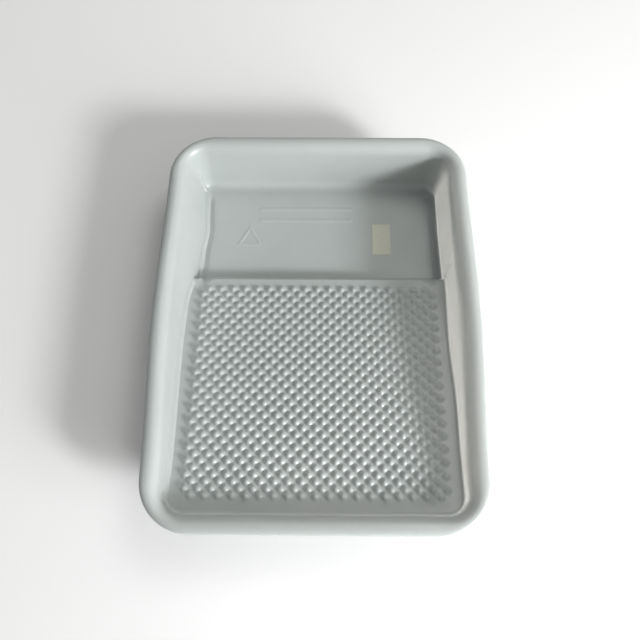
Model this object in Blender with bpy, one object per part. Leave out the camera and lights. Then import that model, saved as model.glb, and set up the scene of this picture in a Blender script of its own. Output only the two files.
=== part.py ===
"""A paint roller tray for a 9 inch roller: one thin moulding and its small adhesive label.

Metres, +Z up. The tray stands on z = 0 with its middle at x = y = 0. +Y points from the
shallow ramp end to the deep well end. The two faces of the moulding come from the same
functions: `thickness` is 0 for the upper face and WALL for the lower one.
"""

import math

import bmesh
import bpy
from mathutils import Vector
from mathutils.geometry import delaunay_2d_cdt, interpolate_bezier

# Overall size of the moulding
LENGTH = 0.3684
WIDTH = 0.2900  # at mid-length, where the sides bow out
SIDE_BOW = 0.0037  # how far each long side bows out at mid-length
WALL = 0.0016
LIP_Z = 0.0576  # height of the widest line, halfway round the rim's bead

# Rim: a turned-down skirt, a rounded crown, a shoulder that curves down, and a drafted wall
SKIRT_DROP = 0.0075
CROWN_INSET = 0.0050
CROWN_RISE = 0.0026
CROWN_STEPS = 3
SHOULDER_STEPS = 5
WALL_TOP_INSET = 0.0150
WALL_TOP_DROP = 0.0066  # from LIP_Z down to where the shoulder meets the straight wall
SIDE_DRAFT = math.radians(7.2)
FAR_DRAFT = math.radians(3.6)
OUTER_CORNER_RADIUS = 0.0430
INNER_CORNER_RADIUS = 0.0100
CORNER_TIGHTENING = 1.55  # how much faster than the inset the corner radius shrinks
CORNER_STEPS = 8

# Well, step and ramp
FLOOR_Z = WALL
CREST_Y = 0.0552  # the edge where the ramp ends above the well
RISER_RUN = 0.0030
RISER_SHIFT = 0.0012  # moves the step's lower face back, so that it is as thick as the rest
RAMP_SLOPE = math.radians(6.76)
WELL_FILLET = 0.0070
RAMP_FILLET = 0.0035

# Studs: a staggered grid of pyramids, square when seen along the ramp's normal
STUD_PITCH = 0.0115
STUD_ROWS = 35
STUD_COLUMN_LIMIT = 19  # the outermost stud, in half pitches from the middle
STUD_HEIGHT = 0.0028
FIRST_ROW_Y = 0.0419
FIRST_ROW_Z = 0.0143  # the ramp's surface between the studs, at the first row

# Legs under the shallow end: two upright channels, open towards the near edge
LEG_X = 0.0780
LEG_WIDTH = 0.0420
LEG_FRONT_Y = -0.1600
LEG_BACK_Y = -0.1380
LEG_WALL = 0.0022
LEG_TAPER = 0.0030  # how much each side draws in at the foot
LEG_BITE = 0.0007  # how far the leg's top reaches into the ramp

# Label
LABEL_X = 0.0638
LABEL_Y = 0.1029
LABEL_WIDTH = 0.0185
LABEL_LENGTH = 0.0346
LABEL_THICKNESS = 0.0002
CONTACT_GAP = 0.0003

SIDE_KNOTS = (-0.130, -0.104, -0.078, -0.052, -0.026, 0.0, 0.026, 0.046)
WELL_KNOTS = (0.068, 0.087, 0.106, 0.125)
END_KNOTS = (-0.080, -0.040, 0.0, 0.040, 0.080)


def clear_scene():
    for item in list(bpy.data.objects):
        bpy.data.objects.remove(item, do_unlink=True)


def plastic(name, color, roughness):
    material = bpy.data.materials.new(name)
    material.use_nodes = True
    shader = material.node_tree.nodes["Principled BSDF"]
    shader.inputs["Base Color"].default_value = (*color, 1.0)
    shader.inputs["Roughness"].default_value = roughness
    shader.inputs["Metallic"].default_value = 0.0
    material.diffuse_color = (*color, 1.0)
    return material


def ramp_height(y):
    return FIRST_ROW_Z + (FIRST_ROW_Y - y) * math.tan(RAMP_SLOPE)


def base_height(y, thickness):
    """Height of the ramp, step or well floor, without the studs."""
    crest_y = CREST_Y - step_shift(thickness)
    crest_z = ramp_height(crest_y)
    along = (y - crest_y) / RISER_RUN
    if along <= 0.0:
        height = ramp_height(y)
    elif along >= 1.0:
        height = FLOOR_Z
    else:
        height = crest_z + (FLOOR_Z - crest_z) * along
    return height - thickness


def step_shift(thickness):
    return RISER_SHIFT * thickness / WALL


def side_knots(thickness):
    shift = step_shift(thickness)
    return (*SIDE_KNOTS, CREST_Y - shift, CREST_Y + RISER_RUN - shift, *WELL_KNOTS)


def corner_radius(inset):
    return max(INNER_CORNER_RADIUS, OUTER_CORNER_RADIUS - CORNER_TIGHTENING * inset)


def half_width(y, inset):
    """Half of the tray's width at y, inset from its outline. The sides bow out a little."""
    straight = LENGTH / 2 - OUTER_CORNER_RADIUS
    bow = SIDE_BOW * math.cos(math.pi / 2 * min(1.0, abs(y) / straight)) ** 2
    return WIDTH / 2 - SIDE_BOW + bow - inset


def perimeter(thickness):
    """What each point round the tray is on: ("side", sign, y), ("end", sign, x) or a corner."""
    knots = side_knots(thickness)
    places = [("side", 1, y) for y in knots]
    places += corner_places(1, 1)
    places += [("end", 1, x) for x in reversed(END_KNOTS)]
    places += reversed(corner_places(-1, 1))
    places += [("side", -1, y) for y in reversed(knots)]
    places += corner_places(-1, -1)
    places += [("end", -1, x) for x in END_KNOTS]
    places += reversed(corner_places(1, -1))
    return places


def corner_places(side, end):
    quarter = math.pi / 2
    return [("corner", (side, end), quarter * step / CORNER_STEPS) for step in range(CORNER_STEPS + 1)]


def plan_point(place, inset):
    """Where a place round the tray lies in plan, inset from the outline."""
    kind, sign, value = place
    end_y = LENGTH / 2 - inset
    if kind == "side":
        return Vector((sign * half_width(value, inset), value))
    if kind == "end":
        return Vector((value, sign * end_y))
    radius = corner_radius(inset)
    centre_x = half_width(LENGTH / 2, inset) - radius
    centre_y = end_y - radius
    x = centre_x + radius * math.cos(value)
    y = centre_y + radius * math.sin(value)
    return Vector((sign[0] * x, sign[1] * y))


def far_share(place):
    """1 on the far end, 0 on the sides and the near end, blending round the far corners."""
    kind, sign, value = place
    if kind == "side":
        return 0.0
    if kind == "end":
        return 1.0 if sign > 0 else 0.0
    return math.sin(value) ** 2 if sign[1] > 0 else 0.0


def rim_section():
    """The rim's upper face, as (inset, height): skirt, crown and shoulder."""
    points = [(0.0, LIP_Z - SKIRT_DROP), (0.0, LIP_Z - SKIRT_DROP / 2)]
    for step in range(CROWN_STEPS):
        angle = math.pi / 2 * step / CROWN_STEPS
        inset = CROWN_INSET * (1.0 - math.cos(angle))
        points.append((inset, LIP_Z + CROWN_RISE * math.sin(angle)))
    crown = Vector((CROWN_INSET, LIP_Z + CROWN_RISE))
    wall_top = Vector((WALL_TOP_INSET, LIP_Z - WALL_TOP_DROP))
    level = crown + Vector((0.6 * (wall_top.x - crown.x), 0.0))
    upright = wall_top + Vector((-0.0008, 0.6 * (crown.y - wall_top.y)))
    points += interpolate_bezier(crown, level, upright, wall_top, SHOULDER_STEPS + 1)
    return [(point[0], point[1]) for point in points]


def wall_section(place, thickness):
    """The upper face's section at a place, as (inset, height) from the skirt to the base."""
    points = rim_section()
    wall_top = points[-1]
    share = far_share(place)
    draft = math.tan(SIDE_DRAFT) * (1.0 - share) + math.tan(FAR_DRAFT) * share
    foot_inset = wall_top[0]
    for _ in range(3):
        y = plan_point(place, foot_inset).y
        foot_z = base_height(y, thickness) + thickness
        foot_inset = wall_top[0] + (wall_top[1] - foot_z) * draft
    fillet = WELL_FILLET if y > CREST_Y else RAMP_FILLET
    foot = Vector((foot_inset, foot_z))
    up_wall = (Vector(wall_top) - foot).normalized() * fillet
    on_base = Vector((fillet, 0.0))
    for share in (0.0, 0.5, 1.0):
        bend = foot + up_wall * (1.0 - share) ** 2 + on_base * share ** 2
        points.append((bend.x, bend.y))
    return points


def offset_section(points, distance):
    """Moves a section's points towards its lower face by distance, square to the section."""
    moved = []
    last = len(points) - 1
    for index, point in enumerate(points):
        here = Vector(point)
        before = Vector(points[max(index - 1, 0)])
        after = Vector(points[min(index + 1, last)])
        outgoing = (after - here).normalized() if index < last else Vector((1.0, 0.0))
        incoming = (here - before).normalized() if index else outgoing
        middle = (incoming + outgoing).normalized()
        square = Vector((middle.y, -middle.x))
        reach = distance / max(0.5, square.dot(Vector((outgoing.y, -outgoing.x))))
        moved.append(here + square * reach)
    return moved


def wall_rings(thickness):
    """Rings of points round the tray, from the skirt's edge in to the base."""
    columns = []
    for place in perimeter(thickness):
        section = offset_section(wall_section(place, thickness), thickness)
        column = []
        for inset, height in section:
            flat = plan_point(place, inset)
            column.append(Vector((flat.x, flat.y, height)))
        column[-1].z = base_height(column[-1].y, thickness)
        columns.append(column)
    return [list(ring) for ring in zip(*columns)]


def stud_grid(thickness):
    """Grid points on the ramp, keyed by (column, row), in half pitches."""
    grid = {}
    half = STUD_PITCH / 2
    for row in range(-1, STUD_ROWS + 1):
        y = FIRST_ROW_Y - row * half * math.cos(RAMP_SLOPE)
        for column in range(-STUD_COLUMN_LIMIT - 1, STUD_COLUMN_LIMIT + 2):
            inside = abs(column) <= STUD_COLUMN_LIMIT and 0 <= row < STUD_ROWS
            peak = STUD_HEIGHT if inside and (column + row) % 2 == 0 else 0.0
            grid[column, row] = Vector((column * half, y, base_height(y, thickness) + peak))
    return grid


def step_lines(thickness):
    """Points across the crest and the foot of the step, between the side walls."""
    shift = step_shift(thickness)
    lines = []
    for y in (CREST_Y - shift, CREST_Y + RISER_RUN - shift):
        columns = range(-STUD_COLUMN_LIMIT + 1, STUD_COLUMN_LIMIT, 4)
        height = base_height(y, thickness)
        lines.append([Vector((column * STUD_PITCH / 2, y, height)) for column in columns])
    return lines


def base_points(ring, thickness):
    """Every point of the base, and the edges that its triangles keep, as pairs of indices."""
    points = list(ring)
    edges = [(index, (index + 1) % len(ring)) for index in range(len(ring))]
    grid = stud_grid(thickness)
    number = {}
    for key, point in grid.items():
        number[key] = len(points)
        points.append(point)
    for column, row in grid:
        if (column + row) % 2:
            for neighbour in ((column + 1, row + 1), (column - 1, row + 1)):
                if neighbour in number:
                    edges.append((number[column, row], number[neighbour]))
    for line, knot in zip(step_lines(thickness), (len(SIDE_KNOTS), len(SIDE_KNOTS) + 1)):
        right = knot
        left = left_side_start() + len(side_knots(thickness)) - 1 - knot
        chain = [left] + list(range(len(points), len(points) + len(line))) + [right]
        points += line
        edges += list(zip(chain[:-1], chain[1:]))
    return points, edges


def left_side_start():
    """Index, in a ring, of the left side's first point."""
    return len(side_knots(0.0)) + 2 * (CORNER_STEPS + 1) + len(END_KNOTS)


def base_triangles(points, edges):
    flat = [Vector((point.x, point.y)) for point in points]
    result = delaunay_2d_cdt(flat, edges, [], 1, 1e-7)
    source = [origins[0] for origins in result[3]]
    return [[source[corner] for corner in face] for face in result[2]]


def add_skin(mesh, thickness, triangles, downward):
    """Adds one face of the moulding to the bmesh and returns its outermost ring of vertices."""
    rings = wall_rings(thickness)
    points, _ = base_points(rings[-1], thickness)
    base = [mesh.verts.new(point) for point in points]
    loops = [[mesh.verts.new(point) for point in ring] for ring in rings[:-1]]
    loops.append(base[: len(rings[-1])])
    count = len(rings[0])
    faces = [[base[corner] for corner in triangle] for triangle in triangles]
    for outer, inner in zip(loops[:-1], loops[1:]):
        for index in range(count):
            after = (index + 1) % count
            faces.append([outer[index], outer[after], inner[after], inner[index]])
    for corners in faces:
        mesh.faces.new(reversed(corners) if downward else corners)
    return loops[0]


def object_of(name, mesh, material):
    bmesh.ops.recalc_face_normals(mesh, faces=mesh.faces)
    data = bpy.data.meshes.new(name)
    mesh.to_mesh(data)
    mesh.free()
    data.materials.append(material)
    item = bpy.data.objects.new(name, data)
    bpy.context.scene.collection.objects.link(item)
    return item


def moulding(material):
    """The tray's one continuous wall: skirt, rim, walls, well, step and studded ramp."""
    mesh = bmesh.new()
    points, edges = base_points(wall_rings(0.0)[-1], 0.0)
    triangles = base_triangles(points, edges)
    upper = add_skin(mesh, 0.0, triangles, False)
    lower = add_skin(mesh, WALL, triangles, True)
    for index in range(len(upper)):
        after = (index + 1) % len(upper)
        mesh.faces.new([upper[after], upper[index], lower[index], lower[after]])
    return object_of("tray_shell", mesh, material)


def leg(side, material):
    """One leg: a channel open to the near edge, from the floor up into the ramp."""
    outer = LEG_WIDTH / 2
    inner = outer - LEG_WALL
    outline = (
        (-outer, LEG_FRONT_Y), (-outer, LEG_BACK_Y), (outer, LEG_BACK_Y), (outer, LEG_FRONT_Y),
        (inner, LEG_FRONT_Y), (inner, LEG_BACK_Y - LEG_WALL),
        (-inner, LEG_BACK_Y - LEG_WALL), (-inner, LEG_FRONT_Y),
    )
    mesh = bmesh.new()
    foot = []
    top = []
    for x, y in outline:
        drawn_in = 1.0 - LEG_TAPER / outer
        foot.append(mesh.verts.new((side * LEG_X + x * drawn_in, y, 0.0)))
        height = base_height(y, WALL) + LEG_BITE
        top.append(mesh.verts.new((side * LEG_X + x, y, height)))
    mesh.faces.new(foot)
    mesh.faces.new(reversed(top))
    for index in range(len(outline)):
        after = (index + 1) % len(outline)
        mesh.faces.new([foot[index], top[index], top[after], foot[after]])
    name = "leg_right" if side > 0 else "leg_left"
    item = object_of(name, mesh, material)
    item.hide_render = True
    item.display_type = "WIRE"
    return item


def tray_shell():
    material = plastic("tray_plastic", (0.49, 0.55, 0.52), 0.28)
    shell = moulding(material)
    for side in (-1, 1):
        union = shell.modifiers.new("Leg", "BOOLEAN")
        union.operation = "UNION"
        union.solver = "EXACT"
        union.object = leg(side, material)
    return shell


def price_label():
    """The blank adhesive label on the well floor, right of the middle."""
    mesh = bmesh.new()
    bmesh.ops.create_cube(mesh, size=1.0)
    size = Vector((LABEL_WIDTH, LABEL_LENGTH, LABEL_THICKNESS))
    bmesh.ops.scale(mesh, vec=size, verts=mesh.verts)
    item = object_of("price_label", mesh, plastic("label_paper", (0.62, 0.64, 0.50), 0.6))
    item.location = (LABEL_X, LABEL_Y, FLOOR_Z + CONTACT_GAP + LABEL_THICKNESS / 2)
    return item


clear_scene()
tray_shell()
price_label()
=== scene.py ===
"""Looks for the paint roller tray: the moulding in full detail, its label, and a soft studio.

The moulding is drawn as two faces, from the same functions: `thickness` is 0 for the upper face
and WALL for the lower one. Each face is a set of rings round the tray, from the skirt's edge in to
the foot of the walls, and a triangulated base inside the last ring.
"""

import math

import bmesh
import bpy
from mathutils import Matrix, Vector, noise
from mathutils.geometry import delaunay_2d_cdt, interpolate_bezier


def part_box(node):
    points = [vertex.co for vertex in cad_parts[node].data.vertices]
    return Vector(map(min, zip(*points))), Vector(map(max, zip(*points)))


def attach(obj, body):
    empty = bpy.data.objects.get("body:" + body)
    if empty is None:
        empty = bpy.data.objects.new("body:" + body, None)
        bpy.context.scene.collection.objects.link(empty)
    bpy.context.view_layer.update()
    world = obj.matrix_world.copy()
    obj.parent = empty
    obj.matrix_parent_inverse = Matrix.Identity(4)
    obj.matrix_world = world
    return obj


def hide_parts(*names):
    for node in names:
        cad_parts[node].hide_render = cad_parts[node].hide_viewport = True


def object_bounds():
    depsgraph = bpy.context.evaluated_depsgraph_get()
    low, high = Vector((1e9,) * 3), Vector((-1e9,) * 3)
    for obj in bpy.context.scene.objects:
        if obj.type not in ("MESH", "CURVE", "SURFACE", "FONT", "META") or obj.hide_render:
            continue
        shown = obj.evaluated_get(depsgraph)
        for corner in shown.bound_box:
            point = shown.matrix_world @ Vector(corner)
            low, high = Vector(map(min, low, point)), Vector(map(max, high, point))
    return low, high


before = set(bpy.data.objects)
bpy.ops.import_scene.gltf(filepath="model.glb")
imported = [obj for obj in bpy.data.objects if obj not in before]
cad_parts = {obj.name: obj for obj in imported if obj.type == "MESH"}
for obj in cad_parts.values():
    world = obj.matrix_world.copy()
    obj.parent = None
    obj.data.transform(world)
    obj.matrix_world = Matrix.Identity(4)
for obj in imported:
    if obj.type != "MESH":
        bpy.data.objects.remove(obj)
LOW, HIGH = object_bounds()
LABEL_LOW, LABEL_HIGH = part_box("price_label")

# Overall size, from the frame
LENGTH = HIGH.y - LOW.y
WIDTH = HIGH.x - LOW.x
SIDE_BOW = 0.0037  # how far each long side bows out at mid-length
WALL = 0.0016

# Rim: a turned-down skirt, a rounded crown, a shoulder that curves down, and a drafted wall
SKIRT_DROP = 0.0075
SKIRT_STEPS = 3
SKIRT_EDGE_ROUNDING = 0.3  # how far the skirt's bottom edge bulges, as a share of WALL
CROWN_INSET = 0.0050
CROWN_RISE = 0.0026
CROWN_STEPS = 7
SHOULDER_STEPS = 12
SHOULDER_PULL = 0.6  # how far the shoulder's curve keeps its direction at each end
SHOULDER_LEAN = 0.0008
WALL_TOP_INSET = 0.0150
WALL_TOP_DROP = 0.0066  # from LIP_Z down to where the shoulder meets the straight wall
WALL_STEPS = 20
FILLET_STEPS = 7
LIP_Z = HIGH.z - CROWN_RISE  # height of the widest line, halfway round the rim's bead
SIDE_DRAFT = math.radians(7.2)
FAR_DRAFT = math.radians(3.6)
OUTER_CORNER_RADIUS = 0.0430
INNER_CORNER_RADIUS = 0.0100
CORNER_TIGHTENING = 1.55  # how much faster than the inset the corner radius shrinks
CORNER_STEPS = 18
SIDE_FADE = 1.6  # how fast what belongs to the long sides fades round a corner
SHARP_ANGLE = math.radians(50)

# Well, step and ramp
FLOOR_Z = WALL
CREST_Y = 0.0552  # the edge where the ramp ends above the well
RISER_RUN = 0.0030
RISER_SHIFT = 0.0012  # moves the step's lower face back, so that it is as thick as the rest
CREST_ROUNDING = 0.0022
ROUNDED_REACH = 0.010  # how far from the crest the base's height is rounded at all
ROUNDING_SAMPLES = 4  # on each side of the point
RAMP_SLOPE = math.radians(6.76)
WELL_SIDE_FILLET = 0.0026
WELL_FAR_FILLET = 0.0085
RAMP_FILLET = 0.0035
WELL_BLEND_START = 0.0010  # how far before the crest the walls begin to change from ramp to well
WELL_BLEND_RUN = 0.0040

# The base's edge strip along the foot of the walls. In the well it holds a shallow groove
RAMP_EDGE = 0.0030
WELL_EDGE = 0.0075
EDGE_STEPS = 6
GROOVE_DEPTH = 0.0013
GROOVE_ENTRY = 0.17  # shares of the strip's width over which the groove goes down and comes up
GROOVE_EXIT = 0.80

# How far the ramp falls away beyond the studs, on each side and at the near end
SIDE_DIP = {1: 0.0006, -1: 0.0019}
SIDE_DIP_START = 0.1065
SIDE_DIP_RUN = 0.0110
NEAR_DIP = 0.0004
NEAR_DIP_START = -0.1530
NEAR_DIP_RUN = 0.0090
CREST_DIP_END = 0.0030  # the dip is gone this far before the crest
CREST_DIP_RUN = 0.0080

# The thin walls aren't straight: how far their feet stand in from their true line
WELL_LEAN = {1: -0.0010, -1: 0.0054}  # each side wall along the well
WELL_LEAN_START = {1: 0.0010, -1: 0.0300}  # how far before the crest that lean begins
WELL_LEAN_END = 0.0060  # and how far beyond the crest it is complete
LEFT_WAVE = 0.0009  # the left wall's buckle along the well
LEFT_WAVE_Y = 0.1120
LEFT_WAVE_REACH = 0.0240
RAMP_LEAN = 0.0052  # the right wall halfway along the ramp
RAMP_LEAN_Y = -0.0150
RAMP_LEAN_REACH = 0.0750
WARP = 0.0005  # fine unevenness all round
WARP_PER_METRE = (14.0, 26.0)
WARP_SLICE = 3.7  # which slice of the noise it is

# Two small creases: up the right wall from the end of the crest, and up the far left corner
CREASE_SLANT = 0.45
CREASE_HALF_WIDTH = 0.0015
CREASE_HEIGHT = 0.0020
CREASE_TOP = 0.0400
CREASE_FADE = 0.0120
CORNER_CREASE_ANGLE = math.radians(40)
CORNER_CREASE_SPREAD = math.radians(7)

# Studs: a staggered grid of rounded pyramids
STUD_PITCH = 0.0115
STUD_ROWS = 35
STUD_COLUMN_LIMIT = 19  # the outermost stud, in half pitches from the middle
STUD_HEIGHT = 0.0028
STUD_REACH = 0.0048  # from a stud's middle to where it meets the ramp
STUD_FALL = 1.5  # 2 is a smooth wave; less keeps the top fuller and the side steeper lower down
STUD_SQUARENESS = 1.4  # 1 is a diamond in plan and 2 is round
FIRST_ROW_Y = 0.0419
FIRST_ROW_Z = 0.0143  # the ramp's surface between the studs, at the first row
STUD_DETAIL_TOP = 5  # grid steps to half a pitch on the upper face
STUD_DETAIL_BOTTOM = 3

# Lines of points that give the rest of the base its shape
STEP_LINE_SPACING = 0.006
WELL_LINE_SPACING = 0.008
LINE_END_MARGIN = 0.0275

# Plain raised marks on the well floor, where such trays carry moulded symbols
MARK_HEIGHT = 0.00035
TRIANGLE_X = -0.0690
TRIANGLE_Y = 0.1030
TRIANGLE_RADIUS = 0.0125
TRIANGLE_RIB = 0.0016
RIB_CORE = 0.35  # shares of the rib's width: its full height, and the fall beside it
RIB_FALL = 0.5
BAR_LEFT = -0.0600
BAR_RIGHT = 0.0340
BAR_ROWS_Y = (0.1240, 0.1370)
BAR_HALF_WIDTH = 0.0017
BAR_INNER_EDGE = 0.0004
BAR_FALL = 0.0009
MARK_STEP = 0.0009
MARK_MARGIN = 0.003  # the fine grid's reach beyond the triangle and the bars' ends
BAR_GRID_HALF = 0.004
CLEAR_MARGIN = 0.0015  # the coarse points this near to a fine grid are left out

# Legs under the shallow end
LEG_X = 0.0780
LEG_WIDTH = 0.0420
LEG_FRONT_Y = -0.1600
LEG_BACK_Y = -0.1380
LEG_WALL = 0.0022
LEG_TAPER = 0.0030  # how much each side draws in at the foot
LEG_BITE = 0.0007  # how far the leg's top reaches into the ramp

# Label
LABEL_CORNER = 0.0012
LABEL_LIFT = 0.0006
LABEL_GAP = 0.00002
LABEL_THICKNESS_SHARE = 0.6  # of the CAD's plate
LABEL_CELLS = (24, 44)
CURL_START = 0.72  # where the lifting corner begins, as a sum of shares of width and length

# Light let through by the near wall and near corners, against 1 on the long sides
NEAR_THINNESS = 0.45

# Camera, in the frame: above the shallow end, looking down the tray
CAMERA_HEIGHT_OVER_LIP = 0.538
CAMERA_X = 0.0068
CAMERA_Y = -0.2051
CAMERA_TILT = (math.radians(20.40), math.radians(0.23), math.radians(0.47))
CAMERA_LENS = 36.96
SENSOR_WIDTH = 36.0

# The side of the studio that is brighter, as a direction
BRIGHT_SIDE = (0.84, -0.06, 0.54)


def spaced(start, end, step):
    """Evenly spaced values from start to end, both included."""
    count = max(1, round(abs(end - start) / step))
    return [start + (end - start) * index / count for index in range(count + 1)]


LEDGE_KNOTS = spaced(0.0490, 0.0700, 0.0005)
SIDE_KNOTS = spaced(-0.1300, 0.0440, 0.0058) + LEDGE_KNOTS + spaced(0.0750, 0.1260, 0.0053)
END_KNOTS = spaced(-0.0840, 0.0840, 0.0105)
STEP_LINES = spaced(0.0490, 0.0620, 0.0005)
WELL_LINES = spaced(0.0660, 0.1580, 0.0080)


def smooth_step(value):
    value = min(1.0, max(0.0, value))
    return value * value * (3.0 - 2.0 * value)


def ramp_height(y):
    return FIRST_ROW_Z + (FIRST_ROW_Y - y) * math.tan(RAMP_SLOPE)


def step_shift(thickness):
    return RISER_SHIFT * thickness / WALL


def sharp_base_height(y, thickness):
    """The base's height in the ramp, step or well, with sharp edges."""
    crest_y = CREST_Y - step_shift(thickness)
    crest_z = ramp_height(crest_y)
    along = (y - crest_y) / RISER_RUN
    if along <= 0.0:
        return ramp_height(y) - thickness
    return crest_z + (FLOOR_Z - crest_z) * min(1.0, along) - thickness


def base_height(y, thickness):
    """The base's height with the step's edges rounded, as the mean over a short stretch."""
    if abs(y - CREST_Y) > ROUNDED_REACH:
        return sharp_base_height(y, thickness)
    offsets = range(-ROUNDING_SAMPLES, ROUNDING_SAMPLES + 1)
    nearby = [y + CREST_ROUNDING * offset / ROUNDING_SAMPLES for offset in offsets]
    return sum(sharp_base_height(place_y, thickness) for place_y in nearby) / len(nearby)


def one_stud(across, along):
    """Height of one rounded stud at a distance from its middle."""
    power = STUD_SQUARENESS
    distance = (abs(across) ** power + abs(along) ** power) ** (1.0 / power)
    if distance >= STUD_REACH:
        return 0.0
    return STUD_HEIGHT * math.cos(math.pi / 2 * distance / STUD_REACH) ** STUD_FALL


def stud_height(x, y):
    """Height of the studs over the ramp at a point."""
    half = STUD_PITCH / 2
    column = x / half
    row = (FIRST_ROW_Y - y) / (half * math.cos(RAMP_SLOPE))
    height = 0.0
    for near_row in (math.floor(row), math.floor(row) + 1):
        for near_column in (math.floor(column), math.floor(column) + 1):
            is_stud = (near_column + near_row) % 2 == 0 and abs(near_column) <= STUD_COLUMN_LIMIT
            if is_stud and 0 <= near_row < STUD_ROWS:
                height += one_stud((column - near_column) * half, (row - near_row) * half)
    return height


def mark_height(x, y):
    """Height of the raised triangle and bars over the well floor."""
    radial = Vector((x - TRIANGLE_X, y - TRIANGLE_Y))
    sides = [math.radians(angle) for angle in (-90, 30, 150)]
    edge = max(radial.dot(Vector((math.cos(side), math.sin(side)))) for side in sides)
    rib = abs(edge - TRIANGLE_RADIUS / 2)
    height = 1.0 - smooth_step((rib - TRIANGLE_RIB * RIB_CORE) / (TRIANGLE_RIB * RIB_FALL))
    for row_y in BAR_ROWS_Y:
        across = abs(y - row_y) - BAR_HALF_WIDTH
        beyond = max(BAR_LEFT - x, x - BAR_RIGHT)
        fall = smooth_step((max(across, beyond) + BAR_INNER_EDGE) / BAR_FALL)
        height = max(height, 1.0 - fall)
    return MARK_HEIGHT * height


def corner_radius(inset):
    return max(INNER_CORNER_RADIUS, OUTER_CORNER_RADIUS - CORNER_TIGHTENING * inset)


def half_width(y, inset):
    """Half of the tray's width at y, inset from its outline. The sides bow out a little."""
    straight = LENGTH / 2 - OUTER_CORNER_RADIUS
    bow = SIDE_BOW * math.cos(math.pi / 2 * min(1.0, abs(y) / straight)) ** 2
    return WIDTH / 2 - SIDE_BOW + bow - inset


def corner_places(side, end):
    quarter = math.pi / 2
    return [("corner", (side, end), quarter * step / CORNER_STEPS) for step in range(CORNER_STEPS + 1)]


def perimeter():
    """What each point round the tray is on: ("side", sign, y), ("end", sign, x) or a corner."""
    places = [("side", 1, y) for y in SIDE_KNOTS]
    places += corner_places(1, 1)
    places += [("end", 1, x) for x in reversed(END_KNOTS)]
    places += reversed(corner_places(-1, 1))
    places += [("side", -1, y) for y in reversed(SIDE_KNOTS)]
    places += corner_places(-1, -1)
    places += [("end", -1, x) for x in END_KNOTS]
    places += reversed(corner_places(1, -1))
    return places


def plan_point(place, inset):
    """Where a place round the tray lies in plan, inset from the outline."""
    kind, sign, value = place
    end_y = LENGTH / 2 - inset
    if kind == "side":
        return Vector((sign * half_width(value, inset), value))
    if kind == "end":
        return Vector((value, sign * end_y))
    radius = corner_radius(inset)
    centre_x = half_width(LENGTH / 2, inset) - radius
    centre_y = end_y - radius
    x = centre_x + radius * math.cos(value)
    y = centre_y + radius * math.sin(value)
    return Vector((sign[0] * x, sign[1] * y))


def far_share(place):
    """1 on the far end, 0 on the sides and the near end, blending round the far corners."""
    kind, sign, value = place
    if kind == "side":
        return 0.0
    if kind == "end":
        return 1.0 if sign > 0 else 0.0
    return math.sin(value) ** 2 if sign[1] > 0 else 0.0


def side_share(place):
    """1 on the long sides, 0 on the ends, blending round the corners."""
    kind, _, value = place
    if kind == "corner":
        return smooth_step(1.0 - SIDE_FADE * value / (math.pi / 2))
    return 1.0 if kind == "side" else 0.0


def thinness(place):
    """How much light a wall lets through: most on the long sides, least on the far end."""
    near = NEAR_THINNESS if plan_point(place, 0.0).y < 0.0 else 0.0
    return max(side_share(place), near)


def rim_section():
    """The rim's upper face, as (inset, height): skirt, crown and shoulder."""
    points = [(0.0, z) for z in spaced(LIP_Z - SKIRT_DROP, LIP_Z, SKIRT_DROP / SKIRT_STEPS)[:-1]]
    for step in range(CROWN_STEPS):
        angle = math.pi / 2 * step / CROWN_STEPS
        inset = CROWN_INSET * (1.0 - math.cos(angle))
        points.append((inset, LIP_Z + CROWN_RISE * math.sin(angle)))
    crown = Vector((CROWN_INSET, LIP_Z + CROWN_RISE))
    wall_top = Vector((WALL_TOP_INSET, LIP_Z - WALL_TOP_DROP))
    level = crown + Vector((SHOULDER_PULL * (wall_top.x - crown.x), 0.0))
    upright = wall_top + Vector((-SHOULDER_LEAN, SHOULDER_PULL * (crown.y - wall_top.y)))
    points += interpolate_bezier(crown, level, upright, wall_top, SHOULDER_STEPS + 1)
    return [(point[0], point[1]) for point in points]


def foot_warp(place, foot_z):
    """How far the thin wall's foot stands in from its true line at a place."""
    point = plan_point(place, WALL_TOP_INSET)
    depth = (LIP_Z - foot_z) / LIP_Z
    scale_x, scale_y = WARP_PER_METRE
    warp = WARP * noise.noise(Vector((point.x * scale_x, point.y * scale_y, WARP_SLICE)))
    lean = 0.0
    if place[0] != "end":
        side = 1 if point.x > 0.0 else -1
        start = WELL_LEAN_START[side]
        begun = smooth_step((point.y - CREST_Y + start) / (start + WELL_LEAN_END))
        lean = WELL_LEAN[side] * side_share(place) * begun
        if side > 0:
            from_middle = min(1.0, abs(point.y - RAMP_LEAN_Y) / RAMP_LEAN_REACH)
            lean += RAMP_LEAN * math.cos(math.pi / 2 * from_middle) ** 2
        else:
            buckle = min(1.0, abs(point.y - LEFT_WAVE_Y) / LEFT_WAVE_REACH)
            lean += LEFT_WAVE * math.cos(math.pi * buckle)
    return (warp + lean) * depth


def crease_shift(place, height):
    """How far a crease stands in from the wall at a point."""
    kind, sign, value = place
    if kind == "side" and sign > 0:
        line_y = CREST_Y + (height - ramp_height(CREST_Y)) * CREASE_SLANT
        across = (value - line_y) / CREASE_HALF_WIDTH
    elif kind == "corner" and sign == (-1, 1):
        across = (value - CORNER_CREASE_ANGLE) / CORNER_CREASE_SPREAD
    else:
        return 0.0
    fade = smooth_step((CREASE_TOP - height) / CREASE_FADE)
    return CREASE_HEIGHT * fade * math.exp(-across * across)


def in_well(y):
    """0 along the ramp and 1 along the well, blending at the crest."""
    return smooth_step((y - CREST_Y + WELL_BLEND_START) / WELL_BLEND_RUN)


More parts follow.
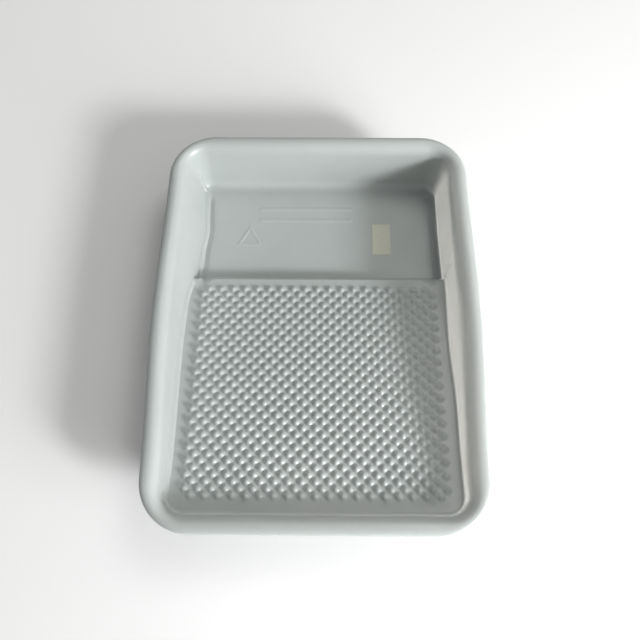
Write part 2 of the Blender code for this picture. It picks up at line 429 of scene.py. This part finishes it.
def groove(place, y, share):
    """Depth of the well's groove at a share of the edge strip's width from the wall's foot."""
    depth = GROOVE_DEPTH * in_well(y) * side_share(place)
    return depth * smooth_step(share / GROOVE_ENTRY) * smooth_step((1.0 - share) / GROOVE_EXIT)


def margin_dip(x, y):
    """How far the ramp falls away between the outermost studs and the walls."""
    side = 1 if x > 0.0 else -1
    beside = SIDE_DIP[side] * smooth_step((abs(x) - SIDE_DIP_START) / SIDE_DIP_RUN)
    below = NEAR_DIP * smooth_step((NEAR_DIP_START - y) / NEAR_DIP_RUN)
    return max(beside, below) * smooth_step((CREST_Y - CREST_DIP_END - y) / CREST_DIP_RUN)


def wall_section(place, thickness):
    """The upper face's section at a place, as (inset, height) from the skirt to the base."""
    points = rim_section()
    wall_top = Vector(points.pop())
    share = far_share(place)
    draft = math.tan(SIDE_DRAFT) * (1.0 - share) + math.tan(FAR_DRAFT) * share
    foot_inset = wall_top.x
    for _ in range(3):
        y = plan_point(place, foot_inset).y
        foot_z = base_height(y, thickness) + thickness
        foot_inset = wall_top.x + (wall_top.y - foot_z) * draft
    foot = Vector((foot_inset + foot_warp(place, foot_z), foot_z))
    beside = side_share(place)
    well_fillet = WELL_SIDE_FILLET * beside + WELL_FAR_FILLET * (1.0 - beside)
    fillet = RAMP_FILLET + (well_fillet - RAMP_FILLET) * in_well(y)
    up_wall = (wall_top - foot).normalized() * fillet
    fillet_top = foot + up_wall
    for step in range(WALL_STEPS):
        point = wall_top.lerp(fillet_top, step / WALL_STEPS)
        points.append((point.x, point.y))
    for step in range(FILLET_STEPS + 1):
        share = step / FILLET_STEPS
        bend = foot + up_wall * (1.0 - share) ** 2 + Vector((fillet, 0.0)) * share ** 2
        points.append((bend.x, bend.y))
    return points


def offset_section(points, distance):
    """Moves a section's points towards its lower face by distance, square to the section."""
    moved = []
    last = len(points) - 1
    for index, point in enumerate(points):
        here = Vector(point)
        before = Vector(points[max(index - 1, 0)])
        after = Vector(points[min(index + 1, last)])
        outgoing = (after - here).normalized() if index < last else Vector((1.0, 0.0))
        incoming = (here - before).normalized() if index else outgoing
        middle = (incoming + outgoing).normalized()
        square = Vector((middle.y, -middle.x))
        reach = distance / max(0.5, square.dot(Vector((outgoing.y, -outgoing.x))))
        moved.append(here + square * reach)
    return moved


def wall_rings(thickness):
    """Rings of points round the tray, from the skirt's edge in to the base."""
    columns = []
    for place in perimeter():
        section = offset_section(wall_section(place, thickness), thickness)
        column = []
        for inset, height in section:
            flat = plan_point(place, inset + crease_shift(place, height))
            column.append(Vector((flat.x, flat.y, height)))
        width = RAMP_EDGE + (WELL_EDGE - RAMP_EDGE) * in_well(column[-1].y)
        for share in spaced(0.0, 1.0, 1.0 / EDGE_STEPS):
            flat = plan_point(place, section[-1].x + width * share)
            dip = margin_dip(flat.x, flat.y)
            if thickness == 0.0:
                dip += groove(place, flat.y, share)
            column.append(Vector((flat.x, flat.y, base_height(flat.y, thickness) - dip)))
        del column[len(section) - 1]
        columns.append(column)
    return [list(ring) for ring in zip(*columns)]


def stud_points(thickness, detail):
    """Points of the studded ramp, `detail` steps to half a pitch."""
    half = STUD_PITCH / 2
    limit = (STUD_COLUMN_LIMIT + 1) * detail
    points = []
    for row_step in range(-detail, STUD_ROWS * detail + 1):
        y = FIRST_ROW_Y - row_step / detail * half * math.cos(RAMP_SLOPE)
        for column_step in range(-limit, limit + 1):
            x = column_step / detail * half
            rise = stud_height(x, y) - margin_dip(x, y)
            points.append(Vector((x, y, base_height(y, thickness) + rise)))
    return points


def line_points(y, thickness, step):
    """Points on one line across the base, clear of the walls' feet."""
    reach = half_width(y, WALL_TOP_INSET) - LINE_END_MARGIN
    return [Vector((x, y, base_height(y, thickness))) for x in spaced(-reach, reach, step)]


def mark_points(left, right, near, far):
    """A fine grid over part of the well floor, raised where a mark is."""
    points = []
    for y in spaced(near, far, MARK_STEP):
        for x in spaced(left, right, MARK_STEP):
            points.append(Vector((x, y, FLOOR_Z + mark_height(x, y))))
    return points


def base_points(ring, thickness):
    """Every point of the base, starting with the ring round it."""
    points = list(ring)
    upper = thickness == 0.0
    points += stud_points(thickness, STUD_DETAIL_TOP if upper else STUD_DETAIL_BOTTOM)
    for y in STEP_LINES:
        points += line_points(y, thickness, STEP_LINE_SPACING)
    for y in WELL_LINES:
        points += line_points(y, thickness, WELL_LINE_SPACING)
    if upper:
        patches = mark_patches()
        points = [point for point in points if not in_mark_patch(point, patches)]
        for patch in patches:
            points += mark_points(*patch)
    return points


def mark_patches():
    """The fine grids' edges on the well floor, as (left, right, near, far)."""
    around = TRIANGLE_RADIUS + MARK_MARGIN
    left = BAR_LEFT - MARK_MARGIN
    right = BAR_RIGHT + MARK_MARGIN
    patches = [(TRIANGLE_X - around, TRIANGLE_X + around, TRIANGLE_Y - around, TRIANGLE_Y + around)]
    patches += [(left, right, row_y - BAR_GRID_HALF, row_y + BAR_GRID_HALF) for row_y in BAR_ROWS_Y]
    return patches


def in_mark_patch(point, patches):
    """Whether a point of the coarse floor grid falls inside a mark's fine grid, or close to it."""
    margin = CLEAR_MARGIN
    return any(left - margin < point.x < right + margin and near - margin < point.y < far + margin
               for left, right, near, far in patches)


def base_triangles(points, ring_size):
    """Triangles between the base's points, as indices, inside the ring that comes first."""
    flat = [Vector((point.x, point.y)) for point in points]
    edges = [(index, (index + 1) % ring_size) for index in range(ring_size)]
    result = delaunay_2d_cdt(flat, edges, [], 1, 1e-7)
    source = [origins[0] for origins in result[3]]
    return [[source[corner] for corner in face] for face in result[2]]


def add_skin(mesh, thickness, downward):
    """Adds one face of the moulding to the bmesh and returns its outermost ring of vertices."""
    rings = wall_rings(thickness)
    points = base_points(rings[-1], thickness)
    triangles = base_triangles(points, len(rings[-1]))
    base = [mesh.verts.new(point) for point in points]
    loops = [[mesh.verts.new(point) for point in ring] for ring in rings[:-1]]
    thin = mesh.verts.layers.float["thin_wall"]
    for index, place in enumerate(perimeter()):
        for loop in loops[: -EDGE_STEPS - 2]:
            loop[index][thin] = thinness(place)
    loops.append(base[: len(rings[-1])])
    count = len(rings[0])
    faces = [[base[corner] for corner in triangle] for triangle in triangles]
    for outer, inner in zip(loops[:-1], loops[1:]):
        for index in range(count):
            after = (index + 1) % count
            faces.append([outer[index], outer[after], inner[after], inner[index]])
    for corners in faces:
        mesh.faces.new(reversed(corners) if downward else corners)
    return loops[0]


def add_skirt_edge(mesh, upper, lower):
    """Closes the skirt's bottom edge between the two faces, slightly rounded."""
    count = len(upper)
    middle = []
    for top, bottom in zip(upper, lower):
        point = (top.co + bottom.co) / 2
        middle.append(mesh.verts.new(point - Vector((0.0, 0.0, WALL * SKIRT_EDGE_ROUNDING))))
    for outer, inner in ((upper, middle), (middle, lower)):
        for index in range(count):
            after = (index + 1) % count
            mesh.faces.new([outer[after], outer[index], inner[index], inner[after]])


def add_leg(mesh, side):
    """One leg: a channel open to the near edge, from the floor up into the ramp."""
    outer = LEG_WIDTH / 2
    inner = outer - LEG_WALL
    back = LEG_BACK_Y - LEG_WALL
    outline = (
        (-outer, LEG_FRONT_Y), (-outer, LEG_BACK_Y), (outer, LEG_BACK_Y), (outer, LEG_FRONT_Y),
        (inner, LEG_FRONT_Y), (inner, back), (-inner, back), (-inner, LEG_FRONT_Y),
    )
    foot = []
    top = []
    for x, y in outline:
        drawn_in = 1.0 - LEG_TAPER / outer
        foot.append(mesh.verts.new((side * LEG_X + x * drawn_in, y, 0.0)))
        height = base_height(y, WALL) + LEG_BITE
        top.append(mesh.verts.new((side * LEG_X + x, y, height)))
    faces = [mesh.faces.new(foot), mesh.faces.new(reversed(top))]
    for index in range(len(outline)):
        after = (index + 1) % len(outline)
        faces.append(mesh.faces.new([foot[index], top[index], top[after], foot[after]]))
    bmesh.ops.recalc_face_normals(mesh, faces=faces)


def link(name, data):
    item = bpy.data.objects.new(name, data)
    bpy.context.scene.collection.objects.link(item)
    return item


def tray_shell():
    """The whole moulding in one closed wall, with its legs."""
    mesh = bmesh.new()
    mesh.verts.layers.float.new("thin_wall")
    upper = add_skin(mesh, 0.0, False)
    lower = add_skin(mesh, WALL, True)
    add_skirt_edge(mesh, upper, lower)
    bmesh.ops.recalc_face_normals(mesh, faces=mesh.faces)
    for side in (-1, 1):
        add_leg(mesh, side)
    data = bpy.data.meshes.new("tray_moulding")
    mesh.to_mesh(data)
    mesh.free()
    data.shade_smooth()
    data.set_sharp_from_angle(angle=SHARP_ANGLE)
    data.materials.append(tray_plastic())
    item = link("tray_moulding", data)
    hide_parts("tray_shell")
    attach(item, "root")


def principled(name):
    material = bpy.data.materials.new(name)
    material.use_nodes = True
    tree = material.node_tree
    return material, tree, tree.nodes["Principled BSDF"]


def noise_node(tree, scale, detail, distortion=0.0):
    """A noise texture in the object's own coordinates, in metres."""
    place = tree.nodes.new("ShaderNodeTexCoord")
    texture = tree.nodes.new("ShaderNodeTexNoise")
    texture.inputs["Scale"].default_value = scale
    texture.inputs["Detail"].default_value = detail
    texture.inputs["Distortion"].default_value = distortion
    tree.links.new(place.outputs["Object"], texture.inputs["Vector"])
    return texture


def ramp_node(tree, source, stops):
    """A colour ramp from (position, colour) stops."""
    ramp = tree.nodes.new("ShaderNodeValToRGB")
    elements = ramp.color_ramp.elements
    elements[0].position, elements[0].color = stops[0]
    elements[1].position, elements[1].color = stops[-1]
    for position, color in stops[1:-1]:
        elements.new(position).color = color
    tree.links.new(source, ramp.inputs["Fac"])
    return ramp


def tray_plastic():
    """Pale grey-green plastic, slightly milky, so thin walls glow where light is behind them."""
    material, tree, shader = principled("tray_plastic")
    shader.inputs["IOR"].default_value = 1.49
    thin = tree.nodes.new("ShaderNodeAttribute")
    thin.attribute_name = "thin_wall"
    milkiness = tree.nodes.new("ShaderNodeMapRange")
    milkiness.inputs["To Min"].default_value = 0.12
    milkiness.inputs["To Max"].default_value = 0.55
    tree.links.new(thin.outputs["Fac"], milkiness.inputs["Value"])
    tree.links.new(milkiness.outputs["Result"], shader.inputs["Subsurface Weight"])
    shader.inputs["Subsurface Radius"].default_value = (1.1, 1.0, 0.95)
    shader.inputs["Subsurface Scale"].default_value = 0.0140
    shader.inputs["Specular IOR Level"].default_value = 0.5
    cloud = noise_node(tree, 22.0, 4.0, 0.6)
    tint = ramp_node(tree, cloud.outputs["Fac"], [
        (0.30, (0.428, 0.460, 0.450, 1.0)),
        (0.70, (0.448, 0.478, 0.468, 1.0)),
    ])
    tree.links.new(tint.outputs["Color"], shader.inputs["Base Color"])
    wear = noise_node(tree, 60.0, 2.0, 0.2)
    gloss = ramp_node(tree, wear.outputs["Fac"], [
        (0.35, (0.28, 0.28, 0.28, 1.0)),
        (0.65, (0.35, 0.35, 0.35, 1.0)),
    ])
    tree.links.new(gloss.outputs["Color"], shader.inputs["Roughness"])
    ripple = noise_node(tree, 34.0, 2.0)
    broad = tree.nodes.new("ShaderNodeBump")
    broad.inputs["Strength"].default_value = 0.10
    broad.inputs["Distance"].default_value = 0.0010
    tree.links.new(ripple.outputs["Fac"], broad.inputs["Height"])
    tree.links.new(broad.outputs["Normal"], shader.inputs["Normal"])
    return material


def label_paper():
    """Matt cream paper with short fibres."""
    material, tree, shader = principled("label_paper")
    shader.inputs["Specular IOR Level"].default_value = 0.3
    fibre = noise_node(tree, 700.0, 8.0, 1.5)
    tint = ramp_node(tree, fibre.outputs["Fac"], [
        (0.30, (0.60, 0.605, 0.50, 1.0)),
        (0.70, (0.68, 0.685, 0.58, 1.0)),
    ])
    tree.links.new(tint.outputs["Color"], shader.inputs["Base Color"])
    rough = ramp_node(tree, fibre.outputs["Fac"], [
        (0.3, (0.55, 0.55, 0.55, 1.0)),
        (0.7, (0.75, 0.75, 0.75, 1.0)),
    ])
    tree.links.new(rough.outputs["Color"], shader.inputs["Roughness"])
    bump = tree.nodes.new("ShaderNodeBump")
    bump.inputs["Strength"].default_value = 0.3
    bump.inputs["Distance"].default_value = 0.00005
    tree.links.new(fibre.outputs["Fac"], bump.inputs["Height"])
    tree.links.new(bump.outputs["Normal"], shader.inputs["Normal"])
    return material


def round_corner(x, y, size):
    """Draws a point of the label's sheet in, where it lies outside a rounded corner."""
    over_x = max(0.0, abs(x) - (size.x / 2 - LABEL_CORNER))
    over_y = max(0.0, abs(y) - (size.y / 2 - LABEL_CORNER))
    over = math.hypot(over_x, over_y)
    if over > LABEL_CORNER:
        x -= math.copysign(over_x * (1.0 - LABEL_CORNER / over), x)
        y -= math.copysign(over_y * (1.0 - LABEL_CORNER / over), y)
    return x, y


def price_label():
    """The adhesive label: rounded corners, a thin edge, and one corner just lifting."""
    size = LABEL_HIGH - LABEL_LOW
    centre = (LABEL_HIGH + LABEL_LOW) / 2
    thickness = size.z * LABEL_THICKNESS_SHARE
    top = FLOOR_Z + LABEL_GAP + thickness
    mesh = bmesh.new()
    columns, rows = LABEL_CELLS
    bmesh.ops.create_grid(mesh, x_segments=columns, y_segments=rows, size=0.5)
    for vertex in mesh.verts:
        x, y = round_corner(vertex.co.x * size.x, vertex.co.y * size.y, size)
        past_start = (x / size.x + y / size.y) - CURL_START
        curl = LABEL_LIFT * max(0.0, past_start / (1.0 - CURL_START)) ** 2
        vertex.co = Vector((centre.x + x, centre.y + y, top + curl))
    data = bpy.data.meshes.new("label_sheet")
    mesh.to_mesh(data)
    mesh.free()
    data.materials.append(label_paper())
    data.shade_smooth()
    item = link("label_sheet", data)
    solid = item.modifiers.new("Paper", "SOLIDIFY")
    solid.thickness = thickness
    solid.offset = -1.0
    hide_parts("price_label")
    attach(item, "root")


def floor():
    """A plain pale surface under the tray."""
    mesh = bmesh.new()
    bmesh.ops.create_grid(mesh, x_segments=1, y_segments=1, size=6.0)
    data = bpy.data.meshes.new("floor")
    mesh.to_mesh(data)
    mesh.free()
    material, _, shader = principled("floor_pale")
    shader.inputs["Base Color"].default_value = (0.94, 0.94, 0.94, 1.0)
    shader.inputs["Roughness"].default_value = 0.8
    data.materials.append(material)
    item = link("floor", data)


def area_light(name, direction, distance, size, power, color):
    """A square soft light that shines on the tray's middle from the given direction."""
    data = bpy.data.lights.new(name, "AREA")
    data.size = size
    data.energy = power
    data.color = color
    item = link(name, data)
    item.location = Vector(direction).normalized() * distance
    item.rotation_euler = (-item.location).to_track_quat("-Z", "Y").to_euler()


def lights():
    """A key and a window at the right front, a soft light far right, and an uneven sky."""
    area_light("key", (1.70, -1.28, 1.0), 4.2, 0.70, 124.0, (0.99, 1.0, 1.0))
    area_light("window", (0.76, -0.56, 0.28), 1.0, 0.5, 9.5, (1.0, 1.0, 1.0))
    area_light("far_right", (0.8, 0.9, 1.9), 2.0, 0.8, 6.6, (1.0, 1.0, 0.96))
    world = bpy.data.worlds.new("studio")
    world.use_nodes = True
    tree = world.node_tree
    background = tree.nodes["Background"]
    background.inputs["Strength"].default_value = 0.34
    direction = tree.nodes.new("ShaderNodeTexCoord")
    towards = tree.nodes.new("ShaderNodeVectorMath")
    towards.operation = "DOT_PRODUCT"
    towards.inputs[1].default_value = BRIGHT_SIDE
    span = tree.nodes.new("ShaderNodeMapRange")
    span.inputs["From Min"].default_value = -1.0
    tree.links.new(direction.outputs["Generated"], towards.inputs[0])
    tree.links.new(towards.outputs["Value"], span.inputs["Value"])
    glow = ramp_node(tree, span.outputs["Result"], [
        (0.0, (0.03, 0.03, 0.03, 1.0)),
        (0.35, (0.28, 0.28, 0.28, 1.0)),
        (0.7, (1.25, 1.25, 1.23, 1.0)),
        (1.0, (1.50, 1.50, 1.47, 1.0)),
    ])
    tree.links.new(glow.outputs["Color"], background.inputs["Color"])
    bpy.context.scene.world = world


def camera():
    """The camera, with no shift."""
    data = bpy.data.cameras.new("camera")
    data.lens = CAMERA_LENS
    data.sensor_width = SENSOR_WIDTH
    data.clip_start = 0.01
    item = link("camera", data)
    item.location = (CAMERA_X, CAMERA_Y, LIP_Z + CAMERA_HEIGHT_OVER_LIP)
    item.rotation_euler = CAMERA_TILT
    bpy.context.scene.camera = item


camera()
lights()
floor()
tray_shell()
price_label()
bpy.context.scene.view_settings.view_transform = "Standard"
